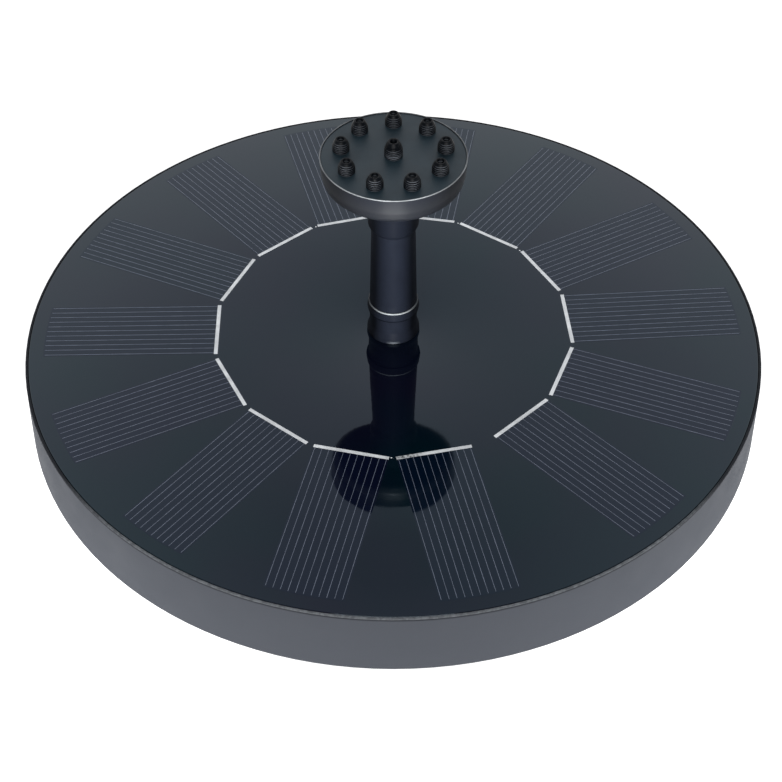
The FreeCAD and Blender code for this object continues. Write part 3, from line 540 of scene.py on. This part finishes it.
def piece(name, vertices, faces, body, slot, material=None, replaces=(), smooth=28.0):
    """Makes a mesh piece from points in millimetres and sets it on its body."""
    mesh = bpy.data.meshes.new(name)
    mesh.from_pydata([(x * MM, y * MM, z * MM) for x, y, z in vertices], [], faces)
    mesh.validate()
    made = bpy.data.objects.new(name, mesh)
    scene.collection.objects.link(made)
    work = bmesh.new()
    work.from_mesh(mesh)
    bmesh.ops.recalc_face_normals(work, faces=work.faces)
    work.to_mesh(mesh)
    work.free()
    mesh.shade_smooth()
    mesh.set_sharp_from_angle(angle=math.radians(smooth))
    paint(made, material or MATERIALS[slot].material)
    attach(made, body)
    if replaces:
        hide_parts(*replaces)
    return made


def prism(outline, low, high, chamfer, vertices, faces):
    """Adds an upright prism with a small chamfer round its top. The outline is convex, anticlockwise."""
    count = len(outline)
    cx = sum(p[0] for p in outline) / count
    cy = sum(p[1] for p in outline) / count
    start = len(vertices)
    for z, inset in ((low, 0.0), (high - chamfer, 0.0), (high, chamfer)):
        for x, y in outline:
            far = math.hypot(x - cx, y - cy)
            share = 1 - inset / far
            vertices.append((cx + (x - cx) * share, cy + (y - cy) * share, z))
    for level in range(2):
        for i in range(count):
            a = start + level * count + i
            b = start + level * count + (i + 1) % count
            faces.append((a, b, b + count, a + count))
    faces.append(tuple(start + 2 * count + i for i in range(count)))
    faces.append(tuple(start + i for i in reversed(range(count))))


def turn(points, degrees):
    """Turns points of a level plane about the riser's axis."""
    c, s = math.cos(math.radians(degrees)), math.sin(math.radians(degrees))
    return [(x * c - y * s, x * s + y * c) for x, y in points]


def rect(x0, x1, y0, y1):
    return [(x0, y0), (x1, y0), (x1, y1), (x0, y1)]


def soft_outline(corners, steps=5):
    """Rounds each (radius, height, rounding) corner. The first and the last corner count as neighbours."""
    points = []
    count = len(corners)
    for i, (r, z, round_by) in enumerate(corners):
        here = Vector((r, z))
        before = Vector(corners[i - 1][:2]) - here
        after = Vector(corners[(i + 1) % count][:2]) - here
        if round_by <= 0 or before.length < 1e-6 or after.length < 1e-6:
            points.append((r, z))
            continue
        angle = before.angle(after)
        reach = min(round_by / math.tan(angle / 2), before.length * 0.49, after.length * 0.49)
        a = here + before.normalized() * reach
        b = here + after.normalized() * reach
        for k in range(steps + 1):
            t = k / steps
            p = a * (1 - t) ** 2 + here * 2 * t * (1 - t) + b * t**2
            points.append((p.x, p.y))
    return points


def lathe_into(outline, segments, vertices, faces, x=0.0, y=0.0):
    """Adds a closed outline of (radius, height), turned about an upright axis."""
    start, count = len(vertices), len(outline)
    for i in range(segments):
        angle = 2 * math.pi * i / segments
        c, s = math.cos(angle), math.sin(angle)
        vertices.extend((x + r * c, y + r * s, z) for r, z in outline)
    for i in range(segments):
        here, ahead = start + i * count, start + (i + 1) % segments * count
        for k in range(count):
            m = (k + 1) % count
            faces.append((here + k, ahead + k, ahead + m, here + m))


def lathe(name, outline, segments, body, slot, **rest):
    """Turns a closed outline of (radius, height) about the riser's axis."""
    vertices, faces = [], []
    lathe_into(outline, segments, vertices, faces)
    return piece(name, vertices, faces, body, slot, **rest)


# ---- panel -----------------------------------------------------------------------------------------------


def cell_angles():
    return [FIRST_CELL + CELL_PITCH * i for i in range(CELL_COUNT)]


def panel_sheet():
    """The laminate's disc, with softened edges."""
    outline = soft_outline(
        [
            (PANEL_HOLE_R, PANEL_LOW, 0.0),
            (PANEL_R, PANEL_LOW, 0.1),
            (PANEL_R, PANEL_TOP, 0.22),
            (PANEL_HOLE_R, PANEL_TOP, 0.1),
        ]
    )
    lathe("panel_sheet", outline, 256, "float", "panel_laminate", replaces=["panel_board"])


def cell_wafers():
    """The silicon of each cell, straight at its inner end and curved along the rim at its outer one."""
    vertices, faces = [], []
    end = math.degrees(math.asin(CELL_HALF / CELL_OUTER))
    arc = [end * (k / 6 - 1) for k in range(13)]
    outline = [(CELL_INNER, -CELL_HALF)]
    outline += [(CELL_OUTER * math.cos(math.radians(a)), CELL_OUTER * math.sin(math.radians(a))) for a in arc]
    outline += [(CELL_INNER, CELL_HALF)]
    for angle in cell_angles():
        prism(turn(outline, angle), PANEL_TOP - CELL_THICK, PANEL_TOP + CELL_PROUD, 0.012, vertices, faces)
    piece("cell_wafers", vertices, faces, "float", "cell_silicon", replaces=["solar_cells"], smooth=10.0)


def cell_fingers():
    """Printed silver lines along each cell, from its ribbon to its outer end."""
    vertices, faces = [], []
    for angle in cell_angles():
        for k in range(-FINGERS_EACH_SIDE, FINGERS_EACH_SIDE + 1):
            y = k * FINGER_PITCH
            reach = math.sqrt(FINGER_OUTER**2 - y**2) - RIBBON_MID
            # Each line is drawn in short lengths, whose width wanders as screen printing does.
            for i in range(FINGER_LENGTHS):
                a = RIBBON_MID + reach * i / FINGER_LENGTHS
                b = RIBBON_MID + min(reach * (i + 1.02) / FINGER_LENGTHS, reach)
                w = FINGER_WIDTH / 2 * random.uniform(0.8, 1.12)
                spot = rect(a, b, y - w, y + w)
                prism(turn(spot, angle), PANEL_TOP - 0.1, PANEL_TOP + FINGER_PROUD, 0.02, vertices, faces)
    piece("cell_fingers", vertices, faces, "float", "tinned_ribbon", material=FINGER_LOOK.material)


def blob(x, y, radius_x, radius_y, height, vertices, faces, low):
    """A low round bead of solder."""
    rings, sides = 4, 14
    start = len(vertices)
    for i in range(rings):
        share = math.cos(math.pi / 2 * i / rings)
        z = low + height * math.sin(math.pi / 2 * i / rings)
        for k in range(sides):
            a = 2 * math.pi * k / sides
            vertices.append((x + radius_x * share * math.cos(a), y + radius_y * share * math.sin(a), z))
    vertices.append((x, y, low + height))
    vertices.append((x, y, low))
    top, bottom = len(vertices) - 2, len(vertices) - 1
    for i in range(rings - 1):
        for k in range(sides):
            a, b = start + i * sides + k, start + i * sides + (k + 1) % sides
            faces.append((a, b, b + sides, a + sides))
    last = start + (rings - 1) * sides
    for k in range(sides):
        faces.append((last + k, last + (k + 1) % sides, top))
        faces.append((start + (k + 1) % sides, start + k, bottom))


def ribbon_strips():
    """The tinned strip across each cell's inner end, with beads of solder on it and at some of the joints."""
    vertices, faces = [], []
    low, high = PANEL_TOP - RIBBON_THICK, PANEL_TOP + RIBBON_PROUD
    x0, x1 = RIBBON_MID - RIBBON_WIDTH / 2, RIBBON_MID + RIBBON_WIDTH / 2
    for angle in cell_angles():
        prism(turn(rect(x0, x1, -CELL_HALF, CELL_HALF), angle), low, high, 0.03, vertices, faces)
        for _ in range(BEADS_PER_RIBBON):
            along = random.uniform(-CELL_HALF + 0.4, CELL_HALF - 0.4)
            [(x, y)] = turn([(RIBBON_MID, along)], angle)
            size = random.uniform(0.18, 0.32)
            blob(x, y, size, size, random.uniform(0.03, 0.06), vertices, faces, high - 0.02)
    # The links between cells are hidden in the resin, and show only as a bead of solder here and there.
    for number in BEADED_JOINTS:
        [(x, y)] = turn([(x0 + 0.15, CELL_HALF + 0.45)], cell_angles()[number])
        blob(x, y, 0.24, 0.24, 0.08, vertices, faces, low + 0.1)
    piece("ribbon_strips", vertices, faces, "float", "tinned_ribbon", replaces=["cell_ribbons"])


# ---- spray head ------------------------------------------------------------------------------------------


def above_panel(corners):
    """Lifts (height above the panel) corners into the part's frame."""
    return [(r, PANEL_TOP + height, rounding) for r, height, rounding in corners]


def head_cup():
    """Collar, rounded underside, wall and thin lip of the spray head."""
    floor = HEAD_UNDERSIDE + 1.2
    recess = PLATE_TOP - PLATE_THICK
    corners = [
        (SOCKET_R, TUBE_TOP, 0.0),
        (TUBE_TOP_R, TUBE_TOP, 0.0),
        (COLLAR_R - 0.08, TUBE_TOP + 1.1, 0.4),
        (COLLAR_R, TUBE_TOP + 2.4, 0.6),
        (COLLAR_R, HEAD_UNDERSIDE, 1.3),
        (HEAD_FLAT_R, HEAD_UNDERSIDE, 1.6),
        (HEAD_SHOULDER_R, HEAD_UNDERSIDE + 1.5, 1.6),
        (HEAD_WALL_R, HEAD_UNDERSIDE + 3.2, 2.0),
        (HEAD_R, HEAD_LIP, 0.12),
        (HEAD_R - LIP_WIDTH, HEAD_LIP, 0.08),
        (HEAD_R - LIP_WIDTH - 0.05, PLATE_TOP, 0.0),
        (PLATE_R + 0.05, PLATE_TOP, 0.0),
        (PLATE_R + 0.05, recess, 0.0),
        (PLATE_R - 0.9, recess, 0.0),
        (PLATE_R - 0.9, floor, 0.6),
        (WATERWAY_R, floor, 0.2),
        (WATERWAY_R, HEAD_SOCKET_TOP, 0.0),
        (SOCKET_R, HEAD_SOCKET_TOP, 0.0),
    ]
    outline = soft_outline(above_panel(corners), steps=8)
    look = CUP_LOOK.material
    lathe("head_cup", outline, 192, "spray_head", "riser_plastic", material=look, replaces=["spray_cup"])


def grooved(r0, h0, r1, h1, count, depth=0.05):
    """Points up a straight side with fine turned grooves in it."""
    points = []
    for i in range(count * 4 + 1):
        t = i / (count * 4)
        sunk = depth if i % 4 == 2 else 0.0
        points.append((r0 + (r1 - r0) * t - sunk, PANEL_TOP + h0 + (h1 - h0) * t))
    return points


def adapter_turning():
    """The adapter at the riser's foot: flared flange, neck, and a lip with fine grooves and a rim."""
    plug = [
        (WATERWAY_R, -SPOUT_PLUG, 0.0),
        (SPOUT_PLUG_R, -SPOUT_PLUG, 0.2),
        (SPOUT_PLUG_R, SEAM, 0.0),
        (FLANGE_R, SEAM, 0.1),
        (FLANGE_R - 0.02, 0.9, 0.5),
        (NECK_R, 2.6, 1.6),
        (NECK_R, 5.9, 0.4),
        (ADAPTER_LIP_R, ADAPTER_LIP, 0.5),
    ]
    rim = [
        (ADAPTER_RIM_R + 0.02, ADAPTER_TOP - ADAPTER_RIM, 0.0),
        (ADAPTER_RIM_R, ADAPTER_TOP, 0.12),
        (SOCKET_R, ADAPTER_TOP, 0.05),
        (SOCKET_R, ADAPTER_SOCKET_FLOOR, 0.0),
        (WATERWAY_R, ADAPTER_SOCKET_FLOOR, 0.0),
    ]
    grooves = grooved(5.62, ADAPTER_LIP + 0.2, 5.42, ADAPTER_TOP - 0.3, 4)
    outline = soft_outline(above_panel(plug)) + grooves + soft_outline(above_panel(rim))
    lathe("adapter_turning", outline, 128, "riser_adapter", "riser_plastic", replaces=["riser_adapter"])


def tube_turning():
    """The riser tube, slightly conical, with grooves turned in it just above the adapter."""
    low = [
        (WATERWAY_R, ADAPTER_SOCKET_FLOOR + SEAM, 0.0),
        (PLUG_R, ADAPTER_SOCKET_FLOOR + SEAM, 0.1),
        (PLUG_R, ADAPTER_TOP + SEAM, 0.0),
        (TUBE_LOW_R, ADAPTER_TOP + SEAM, 0.12),
    ]
    high = [
        (TUBE_TOP_R, TUBE_TOP - 0.01, 0.0),
        (PLUG_R, TUBE_TOP - 0.01, 0.0),
        (PLUG_R, TUBE_TOP + TUBE_PLUG, 0.15),
        (WATERWAY_R, TUBE_TOP + TUBE_PLUG, 0.0),
    ]
    grooves = grooved(5.07, ADAPTER_TOP + 0.3, 5.04, ADAPTER_TOP + 1.7, 4, 0.04)
    outline = soft_outline(above_panel(low)) + grooves + soft_outline(above_panel(high))
    lathe("tube_turning", outline, 128, "riser_tube", "riser_plastic", replaces=["riser_tube"])


def nozzle_side(radius, height, root_r):
    """A nozzle's outline from its root to its hole: ribbed body, steep shoulder, flat tip."""
    tip = radius * NOZZLE_TIP
    foot_z = PANEL_TOP + PLATE_TOP
    points = [(JET_R, foot_z - NOZZLE_ROOT), (root_r, foot_z - NOZZLE_ROOT)]
    for i in range(NOZZLE_STEPS + 1):
        t = i / NOZZLE_STEPS
        shoulder = max(0.0, (t - NOZZLE_SHOULDER) / (1 - NOZZLE_SHOULDER))
        foot = max(0.0, 1 - t / NOZZLE_FOOT)
        r = radius - (radius - tip) * shoulder**1.6 - 0.1 * foot**2
        if RIB_FIRST < t < RIB_LAST:
            turns = NOZZLE_RIBS * (t - RIB_FIRST) / (RIB_LAST - RIB_FIRST)
            r -= RIB_DEPTH * (0.5 - 0.5 * math.cos(2 * math.pi * turns)) ** 0.6
        points.append((r, foot_z + height * t * 0.97))
    points.append((tip - 0.08, foot_z + height))
    points.append((JET_R + 0.05, foot_z + height))
    points.append((JET_R, foot_z + height - 0.06))
    return points


def nozzle_face():
    """The plate in the head's mouth."""
    low, top = PANEL_TOP + PLATE_TOP - PLATE_THICK + 0.02, PANEL_TOP + PLATE_TOP
    outline = [(JET_R, low), (PLATE_R, low), (PLATE_R, top - 0.1), (PLATE_R - 0.1, top), (JET_R, top)]
    lathe("nozzle_face", outline, 144, "spray_head", "nozzle_plastic", replaces=["nozzle_plate"])


def nozzle_tips():
    """The ring of nozzles and the taller one in the middle, rooted in the plate."""
    vertices, faces = [], []
    lathe_into(nozzle_side(**MIDDLE_NOZZLE), 72, vertices, faces)
    outline = nozzle_side(**RING_NOZZLE)
    for i in range(NOZZLE_COUNT):
        angle = 2 * math.pi * (0.25 + i / NOZZLE_COUNT)
        x, y = NOZZLE_CIRCLE_R * math.cos(angle), NOZZLE_CIRCLE_R * math.sin(angle)
        lathe_into(outline, 56, vertices, faces, x, y)
    look = NOZZLE_LOOK.material
    piece("nozzle_tips", vertices, faces, "spray_head", "nozzle_plastic", material=look, smooth=40.0)


panel_sheet()
adapter_turning()
tube_turning()
head_cup()
nozzle_face()
nozzle_tips()
cell_wafers()
cell_fingers()
ribbon_strips()

# ---- inside the float ------------------------------------------------------------------------------------


def pore_depth(across, up, seeds, width):
    """0 in the walls between pores, 1 in a pore's middle, on a strip of this width whose ends are joined."""
    apart = seeds[None, :, :] - np.stack([across, up], axis=1)[:, None, :]
    apart[:, :, 0] -= width * np.round(apart[:, :, 0] / width)
    nearest = np.sqrt((apart**2).sum(axis=2)).min(axis=1)
    return np.clip(1.0 - nearest / PORE_R, 0.0, 1.0)


def filter_foam():
    """A ring cut from open-pored foam: every face is pitted with pores."""
    low, high = node_box("filter_foam")
    inner, outer = FOAM_INNER, high.x - FOAM_PORE * 0.05
    corners = [(inner, low.z), (outer, low.z), (outer, high.z), (inner, high.z)]
    path = []
    for (r0, z0), (r1, z1) in zip(corners, corners[1:] + corners[:1]):
        count = max(2, round(math.hypot(r1 - r0, z1 - z0) / FOAM_STEP))
        path += [(r0 + (r1 - r0) * i / count, z0 + (z1 - z0) * i / count) for i in range(count)]
    path = np.array(path)
    middle = np.array([(inner + outer) / 2, (low.z + high.z) / 2])
    inward = middle - path
    inward /= np.abs(inward).max(axis=1)[:, None]
    length = np.concatenate([[0.0], np.cumsum(np.linalg.norm(np.diff(path, axis=0), axis=1))])
    girth = 2 * math.pi * outer
    segments = round(girth / FOAM_STEP)
    draw = np.random.default_rng(11)
    columns, rows = round(girth / FOAM_PORE), round(length[-1] / FOAM_PORE)
    grid = np.stack(np.meshgrid(np.arange(columns), np.arange(rows)), axis=-1).reshape(-1, 2)
    seeds = (grid + draw.uniform(0.1, 0.9, grid.shape)) * [girth / columns, length[-1] / rows]
    vertices = []
    for i in range(segments):
        along = girth * i / segments
        near = seeds[np.abs((seeds[:, 0] - along + girth / 2) % girth - girth / 2) < 2.5 * FOAM_PORE]
        depth = pore_depth(np.full(len(path), along), length, near, girth)
        points = path + inward * (FOAM_PIT * depth**0.7)[:, None]
        angle = 2 * math.pi * i / segments
        for r, z in points:
            vertices.append((r * math.cos(angle), r * math.sin(angle), z))
    count = len(path)
    faces = []
    for i in range(segments):
        j = (i + 1) % segments
        for k in range(count):
            m = (k + 1) % count
            faces.append((i * count + k, j * count + k, j * count + m, i * count + m))
    nodes = ["filter_foam"]
    ring = piece("foam_ring", vertices, faces, "strainer", "filter_foam", replaces=nodes, smooth=60.0)


def windings():
    """Enamelled wire laid in layers round each of the four bobbins."""
    vertices, faces = [], []
    low, high = node_box("stator_coils")
    middle = Vector((0.0, (low.y + high.y) / 2, (low.z + high.z) / 2))
    for pole in range(4):
        turn_by = Matrix.Rotation(math.radians(90.0 * pole), 3, "Y")
        for layer in range(COIL_LAYERS):
            grow = WIRE * (0.5 + layer * LAYER_RISE)
            half_y = COIL_BORE_Y + grow
            half_z = COIL_BORE_Z + grow
            reach = COIL_REACH[0] + (0.15 if layer % 2 else 0.0), COIL_REACH[1] - LAYER_SHORTER * layer
            turns = int((reach[1] - reach[0] - WIRE) / WIRE)
            loop = []
            bend = COIL_CORNER + grow
            for quarter, (cy, cz) in enumerate(((1, 1), (-1, 1), (-1, -1), (1, -1))):
                for step in range(4):
                    a = math.pi / 2 * (quarter + step / 3)
                    y = cy * (half_y - bend) + bend * math.cos(a)
                    z = cz * (half_z - bend) + bend * math.sin(a)
                    loop.append((y, z))
            points = []
            for t in range(turns):
                for n, (y, z) in enumerate(loop):
                    points.append(Vector((reach[0] + WIRE * (0.5 + t + n / len(loop)), y, z)))
            start = len(vertices)
            for n, point in enumerate(points):
                ahead = points[min(n + 1, len(points) - 1)] - points[max(n - 1, 0)]
                side = ahead.cross(Vector((1.0, 0.0, 0.0))).normalized()
                up = side.cross(ahead).normalized()
                for k in range(WIRE_SIDES):
                    a = 2 * math.pi * k / WIRE_SIDES
                    spot = point + (side * math.cos(a) + up * math.sin(a)) * WIRE * 0.49
                    vertices.append(tuple(turn_by @ spot + middle))
            for n in range(len(points) - 1):
                for k in range(WIRE_SIDES):
                    a, b = start + n * WIRE_SIDES + k, start + n * WIRE_SIDES + (k + 1) % WIRE_SIDES
                    faces.append((a, b, b + WIRE_SIDES, a + WIRE_SIDES))
            faces.append(tuple(start + k for k in reversed(range(WIRE_SIDES))))
            faces.append(tuple(start + (len(points) - 1) * WIRE_SIDES + k for k in range(WIRE_SIDES)))
    nodes = ["stator_coils"]
    piece("coil_windings", vertices, faces, "float", "enamelled_copper", replaces=nodes, smooth=60.0)


filter_foam()
windings()

# ---- the CAD nodes that stay shown -----------------------------------------------------------------------

for subpart in frame["record"]["subparts"]:
    node = frame["nodes"][subpart["node"]]
    if not node.hide_render:
        paint(node, MATERIALS[subpart["material_slot"]].material)

# ---- floor, light, camera --------------------------------------------------------------------------------

FLOOR_GLOW = 0.97
FLOOR_SIDE_GLOW = 2.6
DIM_ROOM = (0.13, 0.14, 0.16)
WINDOW_CENTRE = 55.0  # degrees above the horizon, straight behind the fountain
# Brightness of the bright wall, at degrees from its centre.
WINDOW_STOPS = [(0.0, 0.5), (2.0, 0.5), (12.5, 0.81), (20.0, 1.05), (30.0, 1.2), (45.0, 1.3), (60.0, 1.3)]
WINDOW_WIDTH = 60.0  # degrees from its centre to its edge
WORLD_STRENGTH = 1.6
FRONT_POWER = 7.0  # watts
RISER_POWER = 20.0
BOUNCE_POWER = 1.1
CAMERA_PLACE = (-0.0005, -0.25964, 0.23842 + PANEL_TOP * MM)
CAMERA_DIP = 44.86  # degrees below the horizon
CAMERA_LENS = 73.66


def studio_floor():
    """A white table that glows more to the left and right of the fountain than straight in front of it."""
    bpy.ops.mesh.primitive_plane_add(size=8.0, location=(0, 0, -0.0002))
    floor = bpy.context.object
    floor.name = "floor"
    s = Shade("floor")
    x, y, _ = s.parts()
    beside = s.span(s.math("ABSOLUTE", x), 0.02, 0.09)
    in_front = s.span(y, -0.06, 0.02, 1.0, 0.0)
    glow = s.span(s.math("MULTIPLY", beside, in_front), 0.0, 1.0, FLOOR_GLOW, FLOOR_SIDE_GLOW)
    s.set(Base_Color=(0.3, 0.3, 0.3, 1.0), Roughness=0.9, Emission_Strength=glow)
    s.surface.inputs["Specular IOR Level"].default_value = 0.0
    s.surface.inputs["Emission Color"].default_value = (1, 1, 1, 1)
    paint(floor, s.material)


def studio_world():
    """Dim all round, with a broad bright wall behind the fountain that has a darker middle."""
    world = bpy.data.worlds.new("studio")
    scene.world = world
    world.use_nodes = True
    tree = world.node_tree
    tree.nodes.clear()

    def node(kind, *sources, **settings):
        made = tree.nodes.new(kind)
        for name, value in settings.items():
            setattr(made, name, value)
        for socket, source in zip(made.inputs, sources):
            if isinstance(source, bpy.types.NodeSocket):
                tree.links.new(source, socket)
            elif source is not None:
                socket.default_value = source
        return made

    direction = node("ShaderNodeTexCoord").outputs["Generated"]
    up = math.radians(WINDOW_CENTRE)
    centre = (0.0, math.cos(up), math.sin(up))
    dot = node("ShaderNodeVectorMath", direction, centre, operation="DOT_PRODUCT").outputs["Value"]
    away = node("ShaderNodeMath", dot, operation="ARCCOSINE").outputs[0]
    share = node("ShaderNodeMath", away, math.radians(WINDOW_WIDTH), operation="DIVIDE").outputs[0]
    ramp = node("ShaderNodeValToRGB", share)
    while len(ramp.color_ramp.elements) < len(WINDOW_STOPS):
        ramp.color_ramp.elements.new(0.5)
    for element, (degrees, _) in zip(ramp.color_ramp.elements, WINDOW_STOPS):
        element.position = degrees / WINDOW_WIDTH
    for element, (degrees, level) in zip(ramp.color_ramp.elements, WINDOW_STOPS):
        warm = min(1.0, degrees / 45.0)
        tint = (0.92 + 0.08 * warm, 0.97 + 0.03 * warm, 1.08 - 0.08 * warm)
        element.color = (*[level / WORLD_STRENGTH * t for t in tint], 1.0)
    parts = node("ShaderNodeSeparateXYZ", direction)
    edge = node("ShaderNodeMapRange", parts.outputs["Y"], 0.1, 0.45, interpolation_type="SMOOTHSTEP")
    blended = node("ShaderNodeMix", data_type="RGBA")
    tree.links.new(edge.outputs[0], blended.inputs["Factor"])
    blended.inputs[6].default_value = (*[c / WORLD_STRENGTH for c in DIM_ROOM], 1.0)
    tree.links.new(ramp.outputs[0], blended.inputs[7])
    back = node("ShaderNodeBackground", blended.outputs[2], WORLD_STRENGTH)
    node("ShaderNodeOutputWorld", back.outputs[0])


def area_light(name, place, aim, size, power):
    light = bpy.data.lights.new(name, "AREA")
    light.shape = "RECTANGLE"
    light.size, light.size_y = size
    light.energy = power
    made = bpy.data.objects.new(name, light)
    scene.collection.objects.link(made)
    made.location = place
    made.rotation_mode = "QUATERNION"
    made.rotation_quaternion = (Vector(aim) - Vector(place)).to_track_quat("-Z", "Y")
    return made


def light_only(light, things, alone=False):
    """Makes a light fall on these things. Alone, it also passes through everything else."""
    lit = bpy.data.collections.new(light.name + "_receivers")
    for thing in things:
        lit.objects.link(thing)
    light.light_linking.receiver_collection = lit
    if alone:
        light.light_linking.blocker_collection = lit


def studio_camera():
    data = bpy.data.cameras.new("camera")
    data.lens = CAMERA_LENS
    data.sensor_width = 36.0
    data.clip_start = 0.01
    camera = bpy.data.objects.new("camera", data)
    scene.collection.objects.link(camera)
    camera.location = CAMERA_PLACE
    camera.rotation_euler = (math.radians(90.0 - CAMERA_DIP), 0.0, 0.0)
    scene.camera = camera


studio_floor()
studio_world()
area_light("front_softbox", (0.0, -0.9, 0.55), (0, 0, 0.05), (0.5, 0.35), FRONT_POWER)
riser_light = area_light("riser_light", (0.0, -0.9, 0.05), (0, 0, 0.07), (0.12, 0.12), RISER_POWER)
riser = ("adapter_turning", "tube_turning", "head_cup")
light_only(riser_light, [bpy.data.objects[name] for name in riser])
bounce = area_light("head_bounce", (0.0, -0.42, -0.32), (0, 0, 0.078), (0.07, 0.07), BOUNCE_POWER)
light_only(bounce, [bpy.data.objects["head_cup"]], alone=True)
studio_camera()
scene.view_settings.view_transform = "Standard"
